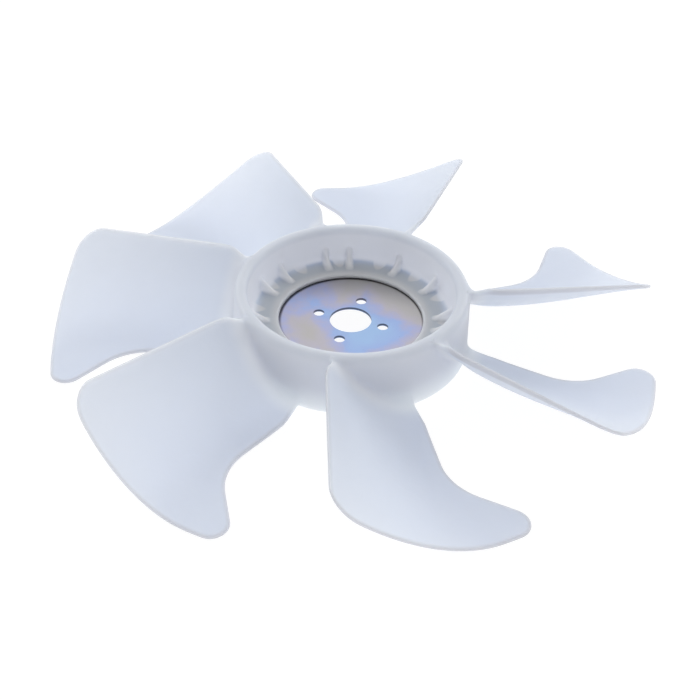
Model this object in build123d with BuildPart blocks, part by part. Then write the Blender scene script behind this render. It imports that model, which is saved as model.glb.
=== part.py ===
from build123d import *
from itertools import accumulate
from math import hypot, radians, sin, sqrt, tan
import os

# Engine cooling fan: a plastic moulding with a drum hub and seven sickle blades,
# and a round steel plate moulded into the hub, by which the fan is bolted up.
# Millimetres. The origin is on the fan's axis, on the plate's underside. +Z points to the open face of the hub.

# Fan
fan_diameter = 380.0
first_blade_angle = 5.0
blade_steps = (61.0, 46.0, 50.0, 53.5, 53.5, 50.5)  # turn from each blade to the next, uneven against whine

# Steel plate
plate_diameter = 118.0  # its rim lies inside the flange
plate_thickness = 2.0
bore_diameter = 26.5
bolt_circle_diameter = 42.5
bolt_hole_diameter = 7.0
bolt_count = 4
bolt_angle = 68.0

# Hub drum
hub_diameter = 146.5  # outside, at the rim
drum_height = 41.4
rim_above_plate = 26.2  # rim to the plate's upper face
drum_draft = 1.3  # outside slope, degrees from upright
rim_wall = 8.4
skirt_wall = 5.0  # wall at the lower edge
inner_draft = 4.0  # inside slope, degrees from upright
rim_round = 3.0
edge_round = 1.0

# Flange that carries the plate
collar_diameter = 91.0  # clear opening over the plate
flange_above_plate = 3.0
flange_below_plate = 3.0
flange_corner_round = 2.0

# Gusset ribs inside the drum, two behind each blade's root
rib_thickness = 2.6
rib_height = 10.0  # up the drum's wall
rib_reach = 12.5  # in along the flange
rib_angles = (-9.6, 21.8)  # from the blade's own direction

# Blade outline, seen along the axis, with the blade pointing along +X
lead_offset = 18.4  # the straight leading edge runs this far beside the radius
lead_corner_gap = 14.0  # from the drum to where the leading edge turns in to it
lead_root_offset = 12.2  # where it ends, inside the drum's wall
lead_corner_round = 10.0
lead_tip_round = 16.0
sickle_angle = 32.7  # how far round the sickle point lies, degrees from the blade's direction
sickle_round = 10.5
waist_share = 0.51  # how far along the blade the trailing edge's two runs meet
waist_reach = 0.49  # their corner's sideways place, as a share of the sickle point's
waist_round = 36.0
trail_corner_gap = 9.0  # from the drum to where the trailing edge turns in to it
trail_corner_offset = 41.0
trail_corner_round = 12.0
trail_root_offset = 32.4

# Blade sections: each falls from the leading edge and runs out flat
lead_rise_root = 2.9  # leading edge above the rim
lead_rise_tip = -2.0
trail_drop_root = 0.7  # flat run below the drum's lower edge
trail_drop_tip = 2.7
fall_width_root = 69.0  # from the leading edge to the flat run
fall_width_middle = 66.5
fall_width_tip = 108.5
blade_thickness_root = 2.8
blade_thickness_tip = 2.1
blade_edge_share = 0.4  # edge rounding as a share of the thickness at the tip

# How finely the blade's curved skins are laid out
skin_columns = 12
skin_rows = 24
skin_spare = 6.0  # the skins run this far past the outline
skin_closeness = 0.02  # of the smooth skin to its laid-out points
slope_step = 0.5

# Worked out from the sizes above
tip_radius = fan_diameter / 2
hub_radius = hub_diameter / 2
blade_span = tip_radius - hub_radius
sickle_reach = tip_radius * sin(radians(sickle_angle))
blade_edge_round = blade_edge_share * blade_thickness_tip
plate_radius = plate_diameter / 2
collar_radius = collar_diameter / 2
rim_z = plate_thickness + rim_above_plate
base_z = rim_z - drum_height
flange_top_z = plate_thickness + flange_above_plate
flange_base_z = -flange_below_plate
blade_angles = list(accumulate(blade_steps, initial=first_blade_angle))


def sloped_radius(radius, draft, drop):
    """Radius at a depth below the rim, on a wall that leans by the draft."""
    return radius + drop * tan(radians(draft))


hub_base_radius = sloped_radius(hub_radius, drum_draft, drum_height)
rim_inner_radius = hub_radius - rim_wall
floor_radius = sloped_radius(rim_inner_radius, -inner_draft, rim_z - flange_top_z)
skirt_base_radius = hub_base_radius - skirt_wall
skirt_top_radius = sloped_radius(skirt_base_radius, -inner_draft, flange_base_z - base_z)
rib_tip_radius = floor_radius - rib_reach
root_radius = hub_radius - rim_wall / 2  # blades run this far into the drum's wall


def on_circle(radius, y):
    """Point of a circle round the axis at sideways distance y."""
    return (sqrt(radius**2 - y**2), y)


def along_blade(root, middle, tip, share):
    """Smooth value along the blade, set at its root, middle and tip."""
    return (
        root * (1 - share) * (1 - 2 * share)
        + middle * 4 * share * (1 - share)
        + tip * share * (2 * share - 1)
    )


def blade_height(x, y):
    """Height of the blade's middle surface: a parabola across the blade that ends in a flat run."""
    share = (x - hub_radius) / blade_span
    lead_z = rim_z + lead_rise_root + (lead_rise_tip - lead_rise_root) * share
    flat_z = base_z - trail_drop_root - (trail_drop_tip - trail_drop_root) * share
    fall_width = along_blade(fall_width_root, fall_width_middle, fall_width_tip, share)
    left_to_fall = max(0, 1 - (y + lead_offset) / fall_width)
    return flat_z + (lead_z - flat_z) * left_to_fall**2


def blade_skin(side):
    """Upper (side 1) or lower (side -1) surface of the blade, past its outline on all sides."""
    x_from, x_to = on_circle(root_radius, trail_root_offset)[0] - skin_spare, tip_radius + skin_spare
    y_from, y_to = -lead_offset - skin_spare, sickle_reach + skin_spare
    grid = []
    for i in range(skin_columns + 1):
        x = x_from + (x_to - x_from) * i / skin_columns
        share = (x - hub_radius) / blade_span
        thickness = blade_thickness_root + (blade_thickness_tip - blade_thickness_root) * share
        line = []
        for j in range(skin_rows + 1):
            y = y_from + (y_to - y_from) * j / skin_rows
            slope_x = (blade_height(x + slope_step, y) - blade_height(x - slope_step, y)) / (2 * slope_step)
            slope_y = (blade_height(x, y + slope_step) - blade_height(x, y - slope_step)) / (2 * slope_step)
            upright = thickness / 2 * sqrt(1 + slope_x**2 + slope_y**2)
            line.append((x, y, blade_height(x, y) + side * upright))
        grid.append(line)
    return Face.make_surface_from_array_of_points(grid, tol=skin_closeness)


# One blade: its outline as a prism, kept between the lower and the upper skin
lead_tip = on_circle(tip_radius, -lead_offset)
sickle_tip = on_circle(tip_radius, sickle_reach)
lead_corner = (hub_radius + lead_corner_gap, -lead_offset)
waist = (hub_radius + waist_share * blade_span, waist_reach * sickle_reach)
trail_corner = (hub_radius + trail_corner_gap, trail_corner_offset)
prism_height = 3 * drum_height  # holds the whole blade, with room above and below
with BuildPart() as blade:
    with BuildSketch(Plane.XY.offset(base_z - drum_height)) as outline:
        with BuildLine():
            Polyline(
                lead_tip,
                lead_corner,
                on_circle(root_radius, -lead_root_offset),
                on_circle(root_radius, trail_root_offset),
                trail_corner,
                waist,
                sickle_tip,
            )
            RadiusArc(lead_tip, sickle_tip, -tip_radius)
        make_face()
        for corner, radius in (
            (lead_corner, lead_corner_round),
            (lead_tip, lead_tip_round),
            (sickle_tip, sickle_round),
            (waist, waist_round),
            (trail_corner, trail_corner_round),
        ):
            fillet(outline.vertices().sort_by_distance(corner)[0], radius=radius)
    extrude(amount=prism_height)
    extrude(blade_skin(-1), amount=prism_height, dir=(0, 0, 1), mode=Mode.INTERSECT)
    extrude(blade_skin(1), amount=prism_height, dir=(0, 0, -1), mode=Mode.INTERSECT)
    skin_edges = blade.edges().filter_by(GeomType.BSPLINE)
    free_edges = skin_edges.filter_by(lambda edge: hypot(edge.center().X, edge.center().Y) > hub_radius)
    fillet(free_edges, radius=blade_edge_round)

# The moulding: drum, flange with a groove for the plate's rim, ribs and blades
with BuildPart() as fan_moulding:
    with BuildSketch(Plane.XZ) as section:
        with BuildLine():
            Polyline(
                (hub_base_radius, base_z),
                (hub_radius, rim_z),
                (rim_inner_radius, rim_z),
                (floor_radius, flange_top_z),
                (collar_radius, flange_top_z),
                (collar_radius, plate_thickness),
                (plate_radius, plate_thickness),
                (plate_radius, 0),
                (collar_radius, 0),
                (collar_radius, flange_base_z),
                (skirt_top_radius, flange_base_z),
                (skirt_base_radius, base_z),
                close=True,
            )
        make_face()
        for corner, radius in (
            ((hub_radius, rim_z), rim_round),
            ((rim_inner_radius, rim_z), rim_round),
            ((floor_radius, flange_top_z), flange_corner_round),
            ((collar_radius, flange_top_z), edge_round),
            ((hub_base_radius, base_z), edge_round),
        ):
            fillet(section.vertices().sort_by_distance(corner)[0], radius=radius)
    revolve(axis=Axis.Z)
    for blade_angle in blade_angles:
        for rib_angle in rib_angles:
            with BuildSketch(Plane.XZ.rotated((0, 0, blade_angle + rib_angle))):
                with BuildLine():
                    Polyline(
                        (rib_tip_radius, flange_top_z),
                        (floor_radius, flange_top_z + rib_height),
                        (root_radius, flange_top_z + rib_height),
                        (root_radius, flange_top_z - edge_round),
                        (rib_tip_radius, flange_top_z - edge_round),
                        close=True,
                    )
                make_face()
            extrude(amount=rib_thickness / 2, both=True)
    for blade_angle in blade_angles:
        add(blade.part, rotation=(0, 0, blade_angle))

# The steel plate: a disc with the pilot bore and the bolt circle
with BuildPart() as mounting_plate:
    with BuildSketch():
        Circle(plate_radius)
        Circle(bore_diameter / 2, mode=Mode.SUBTRACT)
        with PolarLocations(bolt_circle_diameter / 2, bolt_count, start_angle=bolt_angle):
            Circle(bolt_hole_diameter / 2, mode=Mode.SUBTRACT)
    extrude(amount=plate_thickness)

fan_moulding.part.label = "fan_moulding"
mounting_plate.part.label = "mounting_plate"
os.makedirs("parts", exist_ok=True)
export_step(fan_moulding.part, "parts/fan_moulding.step")
export_step(mounting_plate.part, "parts/mounting_plate.step")
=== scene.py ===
import math

import bpy
import numpy as np
from mathutils import Matrix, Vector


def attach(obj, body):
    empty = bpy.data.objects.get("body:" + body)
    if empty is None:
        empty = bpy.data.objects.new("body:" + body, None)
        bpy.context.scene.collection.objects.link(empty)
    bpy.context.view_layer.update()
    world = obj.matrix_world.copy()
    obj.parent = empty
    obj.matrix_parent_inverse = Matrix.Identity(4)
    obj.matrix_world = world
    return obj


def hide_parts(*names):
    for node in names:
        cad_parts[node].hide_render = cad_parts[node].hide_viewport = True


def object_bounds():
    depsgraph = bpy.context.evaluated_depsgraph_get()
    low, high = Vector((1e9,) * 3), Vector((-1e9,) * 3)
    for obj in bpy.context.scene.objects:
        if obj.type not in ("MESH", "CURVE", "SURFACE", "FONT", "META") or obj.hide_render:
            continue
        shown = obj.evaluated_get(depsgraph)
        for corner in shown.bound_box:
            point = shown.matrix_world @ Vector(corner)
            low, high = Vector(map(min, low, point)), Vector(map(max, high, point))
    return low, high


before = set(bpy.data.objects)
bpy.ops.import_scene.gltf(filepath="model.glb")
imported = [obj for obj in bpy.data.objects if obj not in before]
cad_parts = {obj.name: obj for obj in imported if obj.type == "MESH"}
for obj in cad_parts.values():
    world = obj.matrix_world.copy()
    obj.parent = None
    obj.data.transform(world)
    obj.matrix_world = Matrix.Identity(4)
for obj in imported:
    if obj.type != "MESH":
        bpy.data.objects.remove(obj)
cad_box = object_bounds()


# The steel plate: a round insert stamped from sheet, zinc plated and passivated, which leaves a bloom of
# straw, lilac and blue. The moulding is cast round its rim, and the pump's bolts go through its holes.
class Wire:
    """A shader socket. Arithmetic on wires adds Math nodes, and node() adds any other node."""

    def __init__(self, tree, socket=None):
        self.tree = tree
        self.socket = socket

    def node(self, kind, settings, sockets, out=0):
        """Add a node: its settings first (stops are a ramp's), then a value or a link for each socket."""
        made = self.tree.nodes.new(kind)
        for name, value in settings.items():
            if name == "stops":
                ramp = made.color_ramp
                while len(ramp.elements) < len(value):
                    ramp.elements.new(0.5)
                for element, (place, colour) in zip(ramp.elements, value):
                    element.position = place
                    element.color = (*colour, 1)
            else:
                setattr(made, name, value)
        for name, value in sockets.items():
            if isinstance(value, Wire):
                self.tree.links.new(value.socket, made.inputs[name])
            else:
                made.inputs[name].default_value = value
        return Wire(self.tree, made.outputs[out])

    def math(self, operation, first, second=0.0):
        return self.node("ShaderNodeMath", {"operation": operation}, {0: first, 1: second})

    def __add__(self, other):
        return self.math("ADD", self, other)

    def __sub__(self, other):
        return self.math("SUBTRACT", self, other)

    def __mul__(self, other):
        return self.math("MULTIPLY", self, other)

    def __rsub__(self, other):
        return self.math("SUBTRACT", other, self)

    __radd__ = __add__
    __rmul__ = __mul__

    def least(self, other):
        """The smaller of two wires."""
        return self.math("MINIMUM", self, other)

    def most(self, other):
        """The larger of two wires."""
        return self.math("MAXIMUM", self, other)

    def root(self):
        """The square root."""
        return self.math("SQRT", self)

    def step(self, low, high):
        """0 below low, 1 above high, smooth between."""
        settings = {"interpolation_type": "SMOOTHSTEP"}
        return self.node("ShaderNodeMapRange", settings, {"Value": self, "From Min": low, "From Max": high})

    def blend(self, first, second):
        """The first colour where this wire is 0, the second where it is 1."""
        return self.node("ShaderNodeMix", {"data_type": "RGBA"}, {0: self, 6: first, 7: second}, out=2)

    def noise(self, scale, detail=2.0, rough=0.5, warp=0.0):
        """Noise on this wire's coordinates, scale waves to the metre."""
        sockets = {"Vector": self, "Scale": scale, "Detail": detail, "Roughness": rough, "Distortion": warp}
        return self.node("ShaderNodeTexNoise", {}, sockets)

    def measure(self, name):
        """A measure kept with the points of the mesh."""
        return self.node("ShaderNodeAttribute", {"attribute_name": name}, {}, out="Fac")

    def bump(self, depth):
        """This wire as a height in metres, turned into a normal."""
        return self.node("ShaderNodeBump", {}, {"Height": self, "Strength": 1.0, "Distance": depth})


def finish_of(name):
    """A new material, its shader node, its Object coordinates, and their x, y and z."""
    material = bpy.data.materials.new(name)
    material.use_nodes = True
    tree = material.node_tree
    shader = tree.nodes["Principled BSDF"]
    place = Wire(tree).node("ShaderNodeTexCoord", {}, {}, out="Object")
    axes = [place.node("ShaderNodeSeparateXYZ", {}, {0: place}, out=axis) for axis in range(3)]
    return material, shader, place, axes


def feed(shader, sockets):
    """Link or set the sockets of a material's shader."""
    for name, value in sockets.items():
        if isinstance(value, Wire):
            value.tree.links.new(value.socket, shader.inputs[name])
        else:
            shader.inputs[name].default_value = value


def inside(x, y, border):
    """Distance inside a straight border, which is given as its inward direction and its distance from the axis:
    x and y along that direction, plus the distance."""
    return x * border[0] + y * border[1] + border[2]


def away_from(x, y, spot):
    """Distance from a spot: the root of both offsets squared."""
    across, along = x - spot[0], y - spot[1]
    return (across * across + along * along).root()


straw = (0.47, 0.455, 0.455)
rose = (0.48, 0.46, 0.52)
lilac = (0.42, 0.44, 0.64)
blue = (0.34, 0.45, 0.73)
pale_blue = (0.35, 0.50, 0.75)
# Near black, for the painted shade and the scuffs on the plate.
shade_and_scuff_dark = (0.02, 0.02, 0.025, 1)
bloom_stops = ((0.0, straw), (0.26, rose), (0.44, lilac), (0.62, blue), (1.0, pale_blue))
thinnest_film = -0.014
film_to_bloom = 34.0
pool_left = (0.949, 0.316, 0.0178)
pool_right = (-0.776, -0.631, 0.02129)
pool_back = (0.223, -0.975, 0.016)
pool_back_left = (0.45, -0.893, 0.0147)
pool_radius = 0.0365
blue_spot = (-0.0205, 0.0215)
lilac_film = -0.0025
gap_centre = (0.0004, -0.0005)

# The film is thickest, and blue, in a pool from the middle to the front right. Left of the pool it is straw,
# with lilac towards the lip and the back, round one blue spot.
plating, plating_shader, place, (x, y, z) = finish_of("passivated_zinc")
cloud = place.noise(30.0, 2.0, 0.5) - 0.5
wisp = place.noise(110.0, 3.0, 0.6) - 0.5
radius = (x * x + y * y).root()
pool_film = inside(x, y, pool_left).least(inside(x, y, pool_right))
pool_film = pool_film.least(inside(x, y, pool_back).most(inside(x, y, pool_back_left)))
pool_film = pool_film.least((pool_radius - radius) * 0.9)
lip_film = (radius - 0.043) * 0.8 - 0.002
back_film = (y - 0.008) * 0.7 - 0.0025
spot_film = 0.003 - away_from(x, y, blue_spot) * 0.7
left_film = lip_film.most(back_film).least(lilac_film).most(spot_film).least(x * -1.2 - 0.0145)
film = pool_film.most(left_film) + cloud * 0.018 + wisp * 0.016
bloom = film.node("ShaderNodeValToRGB", {"stops": bloom_stops}, {0: (film - thinnest_film) * film_to_bloom})

# Painted shade darkens the gap below the collar's lip, the back and the holes' walls; scuffs darken it too.
gap_shade = away_from(x, y, gap_centre).step(0.0437, 0.0452) * (y.step(-0.012, 0.012) * 0.6 + 0.4)
lip_shade = (y * 0.97 + x * 0.1).step(0.012, 0.046)
hole_wall_shade = z.step(0.0002, 0.0004) * (1 - z.step(0.0016, 0.0019))
scuffs = place.noise(900.0, 3.0, warp=1.5).step(0.68, 0.74)
shade_and_scuffs = 1 - (1 - gap_shade * 0.9) * (1 - lip_shade * 0.30) * (1 - hole_wall_shade * 0.8) * (1 - scuffs * 0.15)
feed(
    plating_shader,
    {
        "Base Color": shade_and_scuffs.blend(bloom, shade_and_scuff_dark),
        "Metallic": 1.0,
        "Roughness": wisp * 0.2 + 0.34,
        "Normal": place.noise(1400.0, 3.0).bump(0.00003),
    },
)
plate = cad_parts["mounting_plate"]
plate.data.materials.clear()
plate.data.materials.append(plating)

# The moulding: hub drum, flange, ribs and seven blades, one injection moulding in natural, milky plastic
# that light passes into. It is cast round the plate's rim, every edge is soft, and each blade and rib runs out
# into the drum in a fillet. Its darker ring over the plate's rim is painted shade. Sizes are in millimetres.
millimetre = 0.001
rim_z = 28.2
base_z = -13.2
hub_radius = 73.25
wall_slope = math.tan(math.radians(1.3))
hub_base_radius = hub_radius + (rim_z - base_z) * wall_slope
rim_inner_radius = 64.85
inner_slope = math.tan(math.radians(4.0))
skirt_radius = 69.19
skirt_top_radius = 68.48
flange_top_z = 5.0
flange_base_z = -3.0
floor_radius = rim_inner_radius - (rim_z - flange_top_z) * inner_slope
collar_radius = 45.5
plate_radius = 59.0
plate_thickness = 2.0
rim_round = 4.0
floor_round = 4.0
lip_round = 1.4
groove_round = 0.2
collar_base_round = 1.0
skirt_top_round = 2.5
skirt_round = 1.0
foot_round = 1.2
section_spacing = 2.4


def fade(value, low, high):
    """0 at low, 1 at high, straight between: (value - low) / (high - low), kept from 0 to 1."""
    return np.clip((value - low) / (high - low), 0, 1)


def quarter_round(distance, size):
    """Share of the full height at a distance from a rounded edge: sqrt(1 - (1 - distance / size)^2)."""
    return np.sqrt(1 - np.clip(1 - distance / size, 0, 1) ** 2)


def fillet_rise(gap, size):
    """Height of a quarter-round fillet at a distance from the wall: size - sqrt(size^2 - (size - gap)^2)."""
    return size * (1 - quarter_round(gap, size))


def arc(centre, first, last, turn, count):
    """Points round a centre between two spokes a turn apart: the first times sin((1 - share) * turn), plus the
    last times sin(share * turn), over sin(turn)."""
    share = np.linspace(0, 1, count)[:, None]
    return centre + (np.sin((1 - share) * turn) * first + np.sin(share * turn) * last) / np.sin(turn)


def rounded_path(corners, rounds, spacing):
    """Path from the first corner to the last: straight runs divided evenly, and at each corner between an arc
    of its own radius, tangent to both runs, that starts radius / tan(half the corner's angle) before it."""
    corners = np.array(corners, float)
    stretches = [corners[:1]]
    for before, corner, after, radius in zip(corners, corners[1:], corners[2:], rounds):
        back = (before - corner) / np.hypot(*(before - corner))
        ahead = (after - corner) / np.hypot(*(after - corner))
        half = np.arccos(back @ ahead) / 2
        turn = np.pi - 2 * half
        cut = radius / np.tan(half)
        centre = corner + (back + ahead) / np.hypot(*(back + ahead)) * radius / np.sin(half)
        count = 3 + int(radius * turn / spacing * 2)
        stretches.append(arc(centre, corner + back * cut - centre, corner + ahead * cut - centre, turn, count))
    path = np.vstack([*stretches, corners[-1:]])
    runs = []
    for start, end in zip(path, path[1:]):
        pieces = max(1, math.ceil(np.hypot(*(end - start)) / spacing))
        runs.append(np.linspace(start, end, 1 + pieces)[:-1])
    return np.vstack([*runs, path[-1:]])


def quads(grid):
    """The four-sided faces between neighbouring rows and columns of a grid of vertex numbers."""
    return np.stack((grid[:-1, :-1], grid[1:, :-1], grid[1:, 1:], grid[:-1, 1:]), -1).reshape(-1, 4)


def drum_shell(turns=216):
    """The drum and flange: a closed section of radius and height, carried round the axis."""
    mid_wall = (hub_radius + hub_base_radius) / 2, (rim_z + base_z) / 2
    corners = (
        (hub_base_radius, base_z, foot_round),
        (skirt_radius, base_z, skirt_round),
        (skirt_top_radius, flange_base_z, skirt_top_round),
        (collar_radius, flange_base_z, collar_base_round),
        (collar_radius, 0.0, groove_round),
        (plate_radius, 0.0, groove_round),
        (plate_radius, plate_thickness, groove_round),
        (collar_radius, plate_thickness, groove_round),
        (collar_radius, flange_top_z, lip_round),
        (floor_radius, flange_top_z, floor_round),
        (rim_inner_radius, rim_z, rim_round),
        (hub_radius, rim_z, rim_round),
    )
    places = [mid_wall, *(corner[:2] for corner in corners), mid_wall]
    section = rounded_path(places, [corner[2] for corner in corners], section_spacing)[:-1]
    angle = np.linspace(0, 2 * np.pi, turns, endpoint=False)
    radius, height = section[:, :1], section[:, 1:]
    points = np.stack((radius * np.cos(angle), radius * np.sin(angle), height + 0 * angle), -1)
    numbers = np.arange(points.shape[0] * turns).reshape(-1, turns)
    return points.reshape(-1, 3), [quads(np.pad(numbers, ((0, 1), (0, 1)), mode="wrap"))]


rib_height = 10.0
rib_reach = 12.5
rib_half_width = 1.3
rib_taper = 0.05
rib_fillet = 2.2
rib_ends = (-0.06, 1.14)
rib_depths = (0.5, 8.4)
rib_floor_z = plate_thickness + 0.6


def rib_shell(stations=18, depths=10):
    """One gusset rib, pointing along +X: a rounded, tapered section hung from a sloping ridge, which runs from the
    flange up the drum's wall. Its width grows with the depth below the ridge and flares where it meets them."""
    share = np.linspace(*rib_ends, stations)[:, None]
    ridge_r = floor_radius - rib_reach + rib_reach * share
    ridge_z = flange_top_z + rib_height * share
    slope = math.hypot(rib_reach, rib_height)
    inward, downward = rib_height / slope, rib_reach / slope
    deepest = np.clip((ridge_z - rib_floor_z) / downward, *rib_depths)
    depth = deepest * np.linspace(0, 1, depths) ** 1.6
    r = ridge_r + inward * depth
    z = ridge_z - downward * depth
    wall_gap = rim_inner_radius - (rim_z - z) * inner_slope - r
    width = rib_half_width * quarter_round(depth, rib_half_width) + rib_taper * depth
    width = width + fillet_rise(np.minimum(wall_gap, z - flange_top_z), rib_fillet) * (depth > 0)
    right = np.stack((r, width, z), -1)
    left = np.stack((r, -width, z), -1)
    points = np.concatenate((right, left[:, :0:-1]), 1)
    numbers = np.arange(points.shape[0] * points.shape[1]).reshape(stations, -1)
    sides = quads(np.pad(numbers, ((0, 0), (0, 1)), mode="wrap"))
    return points.reshape(-1, 3), [sides, numbers[:1], numbers[-1:, ::-1]]


fan_radius = 189.96
blade_span = fan_radius - hub_radius
lead_offset = 18.4
lead_corner = (87.25, -18.4)
lead_corner_round = 40.0
lead_root = (67.96, -12.2)
lead_tip_round = 16.0
sickle_angle = math.radians(32.7)
sickle_round = 10.5
waist = (132.79, 50.3)
waist_round = 36.0
trail_corner = (82.25, 41.0)
trail_corner_round = 12.0
trail_root = (60.97, 32.4)
edge_spacing = 2.0
lead_rise = 2.15
lead_fall = 4.15
lead_sink = 4.3
sink_reach = 13.0
flat_drop = 0.65
flat_fall = 2.0
fall_width_root = 69.0
fall_width_middle = 66.5
fall_width_tip = 108.5
root_thickness = 2.8
thinning = 0.7
upper_fillet = 3.5
upper_fillet_room = 0.8
lower_fillet = 5.0
lower_fillet_room = 1.2
fillet_fade = 4.5
lead_web = 14.0
lead_flare = 2.0
trail_flare = 3.5
flare_start = 0.4
edge_band = 2.4
slope_step = 0.5


def tip_round(start, end, radius):
    """Arc from a straight edge to the tip circle: its centre lies radius inside both."""
    start, end = np.array(start), np.array(end)
    along = (end - start) / np.hypot(*(end - start))
    inward = np.array((along[1], -along[0]))
    inward = inward * np.sign(inward @ (np.array((fan_radius, 0.0)) - end) + 1e-9)
    base = start + inward * radius
    reach = fan_radius - radius
    run = -(base @ along) + math.sqrt((base @ along) ** 2 - base @ base + reach**2)
    centre = base + along * run
    first, last = -inward, centre / np.hypot(*centre)
    return arc(centre, radius * first, radius * last, np.arccos(first @ last), 40)


def blade_height(x, y, lead_y):
    """Middle surface: across the blade a parabola that falls from the leading edge and runs out flat. Near the
    drum the leading edge sinks below the rim, and the parabola's width passes through three sizes on the way out."""
    share = (x - hub_radius) / blade_span
    near_drum = fade(np.hypot(x, y), hub_radius + sink_reach, hub_radius)
    lead_z = rim_z + lead_rise - lead_fall * share - lead_sink * near_drum**2 * (3 - 2 * near_drum)
    flat_z = base_z - flat_drop - flat_fall * share
    width = (
        fall_width_root * (1 - share) * (1 - 2 * share)
        + fall_width_middle * 4 * share * (1 - share)
        + fall_width_tip * share * (2 * share - 1)
    )
    return flat_z + (lead_z - flat_z) * np.clip(1 - (y - lead_y) / width, 0, 1) ** 2


def edge_distance(x, y, line):
    """Distance of every point from a line of straight pieces: the least of its distances from each piece."""
    start, run = line[:-1], np.diff(line, axis=0)
    dx = x.reshape(-1, 1) - start[:, 0]
    dy = y.reshape(-1, 1) - start[:, 1]
    share = np.clip((dx * run[:, 0] + dy * run[:, 1]) / np.maximum((run**2).sum(1), 1e-12), 0, 1)
    return np.hypot(dx - share * run[:, 0], dy - share * run[:, 1]).min(1).reshape(x.shape)


def blade_sides(radius):
    """Angles of the leading and the trailing edge at every radius, and of the leading edge without its flare. An
    edge is a path of straight runs and rounds that ends in the tip's round. It flares to the drum in a fillet."""
    lead_end = np.array((math.sqrt(fan_radius**2 - lead_offset**2), -lead_offset))
    sickle_tip = fan_radius * np.array((math.cos(sickle_angle), math.sin(sickle_angle)))
    lead_arc = tip_round(lead_corner, lead_end, lead_tip_round)
    sickle_arc = tip_round(waist, sickle_tip, sickle_round)
    lead = rounded_path([lead_root, lead_corner, lead_arc[0]], [lead_corner_round], edge_spacing)
    trail_corners = [trail_root, trail_corner, waist, sickle_arc[0]]
    trail = rounded_path(trail_corners, [trail_corner_round, waist_round], edge_spacing)
    bare, flared = [], []
    for path, tip, way, flare in ((lead, lead_arc, -1, lead_flare), (trail, sickle_arc, 1, trail_flare)):
        edge = np.vstack((path[:-1], tip))
        edge_radius = np.hypot(*edge.T)
        keep = np.concatenate(([True], np.diff(np.maximum.accumulate(edge_radius)) > 0))
        bare.append(np.interp(radius, edge_radius[keep], np.arctan2(edge[:, 1], edge[:, 0])[keep]))
        flared.append(bare[-1] + way * fillet_rise(radius - hub_radius - flare_start, flare) / radius)
    return flared[0], flared[1], bare[0]


def blade_shell():
    """One blade, pointing along +X, on rows of constant radius from the drum's wall to the tip. Each row runs from
    the leading to the trailing edge. Both skins lie half the thickness off the middle surface, close in a
    half-round at the edges, and sweep up and down into the drum in a fillet."""
    near = hub_radius + np.array((-2.2, -0.5, -0.1, 0.2, 0.5, 0.9, 1.4, 2.0, 2.8, 3.8, 5.0, 6.5, 8.5, 11.0, 14.0))
    far = fan_radius - (fan_radius - near[-1]) * np.linspace(1, 0, 42)[1:] ** 1.9
    radius = np.concatenate((near, far))[:, None]
    lead, trail, bare_lead = blade_sides(radius)
    length = (trail - lead) * radius
    margin = np.array((0.0, 0.05, 0.2, 0.45, 0.8, 1.2, 1.8, 2.8, 4.5))
    middle = np.linspace(0, 1, 36)[1:-1] * (length - 2 * margin[-1]) + margin[-1]
    angle = lead + np.hstack((margin + 0 * length, middle, length - margin[::-1])) / radius
    x, y = radius * np.cos(angle), radius * np.sin(angle)
    plan = np.stack((x, y), -1)
    distance = edge_distance(x, y, np.vstack((plan[1:, 0], plan[-1], plan[:0:-1, -1])))
    distance[:, [0, -1]] = 0
    distance[-1] = 0

    lead_y = np.where(radius < lead_corner[0] + 20, radius * np.sin(bare_lead), -lead_offset)
    centre_z = blade_height(x, y, lead_y)
    rise_x = blade_height(x + slope_step, y, lead_y) - blade_height(x - slope_step, y, lead_y)
    rise_y = blade_height(x, y + slope_step, lead_y) - blade_height(x, y - slope_step, lead_y)
    steepness = np.sqrt(1 + (rise_x / (2 * slope_step)) ** 2 + (rise_y / (2 * slope_step)) ** 2)
    half_thickness = (root_thickness - thinning * (x - hub_radius) / blade_span) / 2
    upright = half_thickness * quarter_round(distance, half_thickness) * steepness
    web = lead_web * fade(y, -1.0, -5.5)
    skins = []
    for side, room, largest, reach in (
        (1, rim_z - upper_fillet_room - centre_z, upper_fillet + web / 2, web),
        (-1, centre_z - base_z - lower_fillet_room, lower_fillet, 0),
    ):
        z = centre_z + side * upright
        size = np.clip(room - upright, 0.3, largest)
        gap = radius - hub_radius - (rim_z - z) * wall_slope
        rise = fillet_rise(gap * size / np.maximum(size, reach), size) * quarter_round(distance, fillet_fade)
        skins.append(np.stack((x, y, z + side * rise), -1).reshape(-1, 3))

    top = np.arange(x.size).reshape(x.shape)
    under = top + x.size
    under[:, [0, -1]] = top[:, [0, -1]]
    under[-1] = top[-1]
    root = np.stack((top[0, :-1], top[0, 1:], under[0, 1:], under[0, :-1]), -1)
    faces = [quads(top), quads(under[:, ::-1]), root[1:-1], root[:1, :3], root[-1:, [0, 1, 3]]]
    used = np.unique(np.concatenate([block.ravel() for block in faces]))
    # Nearness to a blade's edge, which the finish darkens with painted shade.
    band = fade(distance, edge_band, 0) * fade(radius, hub_radius + 3, hub_radius + 15)
    return np.vstack(skins)[used], [np.searchsorted(used, block) for block in faces], np.tile(band.ravel(), 2)[used]


def turned(points, degrees):
    """Points turned about the fan's axis."""
    c, s = math.cos(math.radians(degrees)), math.sin(math.radians(degrees))
    return points @ np.array(((c, s, 0), (-s, c, 0), (0, 0, 1)))


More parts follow.
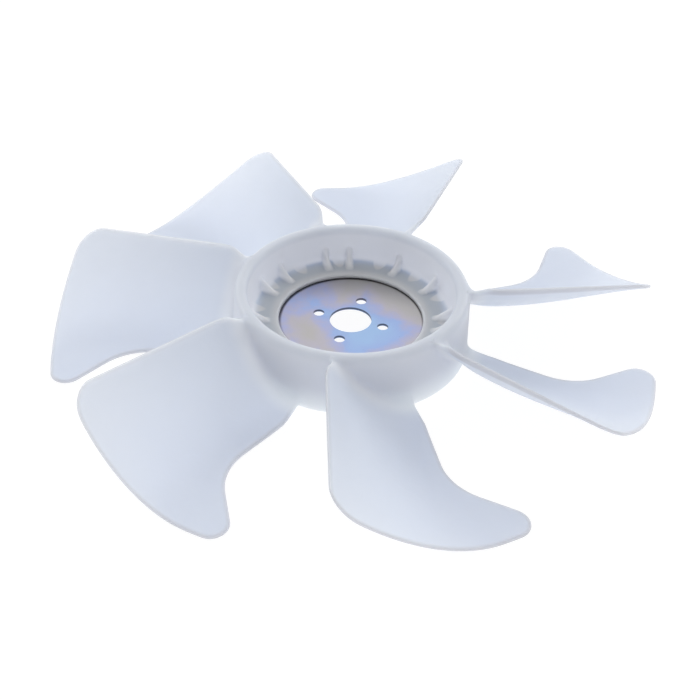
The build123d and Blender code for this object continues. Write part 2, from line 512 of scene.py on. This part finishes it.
def body_of(name, shells):
    """An object made of closed shells: points, blocks of faces, and two measures kept with each point, how near
    a blade's edge it lies and whether it is on a rib."""
    faces, first = [], 0
    for points, blocks, *_ in shells:
        for block in blocks:
            faces += (block + first).tolist()
        first += len(points)
    mesh = bpy.data.meshes.new(name)
    mesh.from_pydata(np.vstack([shell[0] for shell in shells]) * millimetre, [], faces)
    for column, measure in ((2, "rim_band"), (3, "on_rib")):
        values = np.concatenate([np.broadcast_to(shell[column], len(shell[0])) for shell in shells])
        mesh.attributes.new(measure, "FLOAT", "POINT").data.foreach_set("value", values)
    body = bpy.data.objects.new(name, mesh)
    bpy.context.scene.collection.objects.link(body)
    return body


blade_angles = (5.0, 66.0, 112.0, 162.0, 215.5, 269.0, 319.5)
rib_angles = (-9.6, 21.8)
drum_points, drum_faces = drum_shell()
rib_points, rib_faces = rib_shell()
blade_points, blade_faces, blade_band = blade_shell()
limbs = []
for blade_angle in blade_angles:
    limbs.append((turned(blade_points, blade_angle), blade_faces, blade_band, 0.0))
    for rib_angle in rib_angles:
        limbs.append((turned(rib_points, blade_angle + rib_angle), rib_faces, 0.0, 1.0))
cast_fan = body_of("cast_fan", [(drum_points, drum_faces, 0.0, 0.0)])
blades_and_ribs = body_of("blades_and_ribs", limbs)
join = cast_fan.modifiers.new("join", "BOOLEAN")
join.operation = "UNION"
join.solver = "MANIFOLD"
join.object = blades_and_ribs
mesh = bpy.data.meshes.new_from_object(cast_fan.evaluated_get(bpy.context.evaluated_depsgraph_get()))
cast_fan.modifiers.clear()
cast_fan.data = mesh
bpy.data.objects.remove(blades_and_ribs)


def softened(points, edges, loose, rounds, pull=0.6):
    """Where the casting is loose, each point moves by the pull to the middle of its neighbours, some times over."""
    ends = np.concatenate((edges, edges[:, ::-1]))
    count = np.bincount(ends[:, 0], minlength=len(points))[:, None]
    for _ in range(rounds):
        sums = [np.bincount(ends[:, 0], points[ends[:, 1], axis], len(points)) for axis in range(3)]
        points = points + pull * loose[:, None] * (np.stack(sums, -1) / count - points)
    return points


points = np.empty(len(mesh.vertices) * 3)
mesh.vertices.foreach_get("co", points)
points = points.reshape(-1, 3) / millimetre
edges = np.empty(len(mesh.edges) * 2, int)
mesh.edges.foreach_get("vertices", edges)
edges = edges.reshape(-1, 2)
r, z = np.hypot(points[:, 0], points[:, 1]), points[:, 2]
off_wall = np.abs(r - hub_radius - (rim_z - z) * wall_slope)
at_blades = fade(off_wall, 9.0, 3.0) * fade(z, base_z + 1.5, base_z + 3.5) * (r > hub_radius - 2)
above_floor = fade(z, flange_top_z - 0.3, flange_top_z + 0.7) * fade(z, 20.0, 16.0)
at_ribs = above_floor * fade(r, collar_radius + 2.5, collar_radius + 4.5) * (r < rim_inner_radius + 0.5)
points = softened(points, edges, at_blades, 12)
points = softened(points, edges, at_ribs, 9)
mesh.vertices.foreach_set("co", (points * millimetre).ravel())
mesh.shade_smooth()

milk = (0.535, 0.582, 0.692, 1)
milk_pale = (0.575, 0.618, 0.718, 1)
# Lit copies of the plastic's milk for the hub, and a shaded one for the rim's top: painted light and shade.
hub_lit_milk = (0.72, 0.74, 0.79, 1)
skirt_lit_milk = (0.80, 0.85, 0.89, 1)
cup_lit_milk = (0.84, 0.85, 0.89, 1)
rim_shaded_milk = (0.655, 0.685, 0.75, 1)
# Grey of the painted shade on the blades' edges.
edge_shade_grey = (0.42, 0.42, 0.45, 1)
# Grey of the painted shade in the pockets over the flange.
pocket_shade_grey = (0.53, 0.60, 0.71, 1)
# Grey of the painted shade on the ribs' upper parts.
rib_shade_grey = (0.56, 0.58, 0.62, 1)
notch_count = 14
first_notch = math.radians(17)
light_reach = 0.014

# The hub is painted paler than the blades: painted light, more so inside the cup and towards the skirt's foot,
# while the rim's top is painted darker with painted shade. The blades' edges and the ribs' upper parts are
# darker with painted shade. Over the flange, where it covers the steel's rim, a grey ring of painted shade fills
# the pockets between the ribs, broken at its outer end by light notches of painted light.
plastic, plastic_shader, place, (x, y, z) = finish_of("natural_plastic")
radius = (x * x + y * y).root()
on_rib = place.measure("on_rib")
# The blades mottle at random, and their edges are darker with painted shade.
blade_mottle_and_edge_shade = (place.measure("rim_band") * 0.85).blend(place.noise(14.0, 3.0).blend(milk, milk_pale), edge_shade_grey)
# Painted light: the skirt's foot and the inside of the cup are paler; painted shade darkens the rim's top.
wall_painted_light = z.step(-0.014, 0.006).blend(skirt_lit_milk, hub_lit_milk)
wall_painted_light = (1 - radius.step(0.0635, 0.0660)).blend(wall_painted_light, cup_lit_milk)
hub_light_and_shade = z.step(0.0225, 0.0275).blend(wall_painted_light, rim_shaded_milk)
# Painted shade over the flange, fading up the wall, weaker on the ribs and broken by notches of painted light.
around = place.math("COSINE", place.math("ARCTAN2", y, x) * notch_count - notch_count * first_notch)
notch = (around + radius.step(0.049, 0.062) * 0.75 - 1.15).step(0, 0.3)
on_flange = (1 - radius.step(0.0605, 0.0635)) * (1 - z.step(0.0048, 0.0074)) * z.step(0.001, 0.003)
pocket_shade_strength = radius.step(0.0465, 0.053) * 0.45 + 0.35
pocket_shade = (1 - on_rib * 0.4) * (1 - notch * 0.8) * on_flange * pocket_shade_strength
# Painted shade on the ribs' upper parts.
rib_shade = on_rib * z.step(0.006, 0.011) * 0.3
tint = (1 - radius.step(0.074, 0.088)).blend(blade_mottle_and_edge_shade, hub_light_and_shade)
tint = rib_shade.blend(pocket_shade.blend(tint, pocket_shade_grey), rib_shade_grey)
feed(
    plastic_shader,
    {
        "Base Color": tint,
        "Roughness": place.noise(60.0, 3.0) * 0.16 + 0.42,
        "Specular IOR Level": 0.35,
        "Subsurface Weight": 1.0,
        "Subsurface Radius": (1.0, 1.0, 1.0),
        "Subsurface Scale": light_reach,
        "Normal": (place.noise(220.0, 2.0) + place.noise(1500.0, 2.0) * 0.15).bump(0.00006),
    },
)
mesh.materials.clear()
mesh.materials.append(plastic)
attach(cast_fan, "root")
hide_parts("fan_moulding")

# The studio: a pale floor that keeps a soft shadow and shows white, a white room, two soft lamps at the back
# and a weak one low at the front.
floor_z = cad_box[0].z
reach = 3.0
floor_mesh = bpy.data.meshes.new("floor")
corners = [(-reach, -reach, floor_z), (reach, -reach, floor_z), (reach, reach, floor_z), (-reach, reach, floor_z)]
floor_mesh.from_pydata(corners, [], [(0, 1, 2, 3)])
floor = bpy.data.objects.new("floor", floor_mesh)
bpy.context.scene.collection.objects.link(floor)


def seen_directly(tree):
    """1 for rays from the camera, by mirror or through glass, 0 for light that bounces between surfaces."""
    kinds = ("Is Camera Ray", "Is Glossy Ray", "Is Transmission Ray")
    camera_ray, mirror_ray, glass_ray = [
        Wire(tree).node("ShaderNodeLightPath", {}, {}, out=kind) for kind in kinds
    ]
    return camera_ray.most(mirror_ray).most(glass_ray)


white = (1, 1, 1, 1)
paper_white = (0.85, 0.85, 0.86, 1)
shadow_grey = (0.2, 0.2, 0.2, 1)
paper = bpy.data.materials.new("white_paper")
paper.use_nodes = True
tree = paper.node_tree
tree.nodes.remove(tree.nodes["Principled BSDF"])
start = Wire(tree)
plain = start.node("ShaderNodeBsdfDiffuse", {}, {"Color": paper_white})
lit = start.node("ShaderNodeEmission", {}, {"Color": white, "Strength": 0.50})
bounced = start.node("ShaderNodeAddShader", {}, {0: plain, 1: lit})
glow = start.node("ShaderNodeEmission", {}, {"Color": white, "Strength": 0.90})
shade = start.node("ShaderNodeBsdfDiffuse", {}, {"Color": shadow_grey})
shown = start.node("ShaderNodeAddShader", {}, {0: glow, 1: shade})
surface = start.node("ShaderNodeMixShader", {}, {0: seen_directly(tree), 1: bounced, 2: shown})
tree.links.new(surface.socket, tree.nodes["Material Output"].inputs["Surface"])
floor_mesh.materials.append(paper)

room_light = 0.53
world = bpy.data.worlds.new("white_room")
bpy.context.scene.world = world
world.use_nodes = True
tree = world.node_tree
backdrop = tree.nodes["Background"]
strength = seen_directly(tree) * (1 - room_light) + room_light
tree.links.new(strength.socket, backdrop.inputs["Strength"])
backdrop.inputs["Color"].default_value = white

for name, spot, size, watts, colour in (
    ("back_left_lamp", (-2.1, 2.1, 1.7), 1.6, 33.0, (0.92, 0.96, 1.0)),
    ("back_right_lamp", (2.2, 2.1, 1.7), 1.6, 36.0, (0.92, 0.96, 1.0)),
    ("front_lamp", (0.5, -1.25, 0.22), 1.0, 0.9, (1.0, 0.98, 0.96)),
):
    lamp = bpy.data.lights.new(name, "AREA")
    lamp.size = size
    lamp.energy = watts
    lamp.color = colour
    holder = bpy.data.objects.new(name, lamp)
    holder.location = spot
    aim = -holder.location
    holder.rotation_euler = aim.to_track_quat("-Z", "Y").to_euler()
    bpy.context.scene.collection.objects.link(holder)

# The camera: above the front of the fan, as in the photograph.
aim_point = (-0.04652, -0.04131, 0.0275)
camera_distance = 0.73752
camera_rise = math.radians(37.209)
camera_roll = math.radians(-0.792)
camera = bpy.data.cameras.new("camera")
camera.sensor_width = 36.0
camera.lens = 63.99
camera.shift_x = 0.10426
camera.shift_y = -0.03167
camera.clip_start = 0.01
holder = bpy.data.objects.new("camera", camera)
holder.location = (
    aim_point[0],
    aim_point[1] - camera_distance * math.cos(camera_rise),
    aim_point[2] + camera_distance * math.sin(camera_rise),
)
tilt = Matrix.Rotation(math.pi / 2 - camera_rise, 3, "X")
holder.rotation_euler = (tilt @ Matrix.Rotation(camera_roll, 3, "Z")).to_euler()
bpy.context.scene.collection.objects.link(holder)
bpy.context.scene.camera = holder
bpy.context.scene.view_settings.view_transform = "Standard"
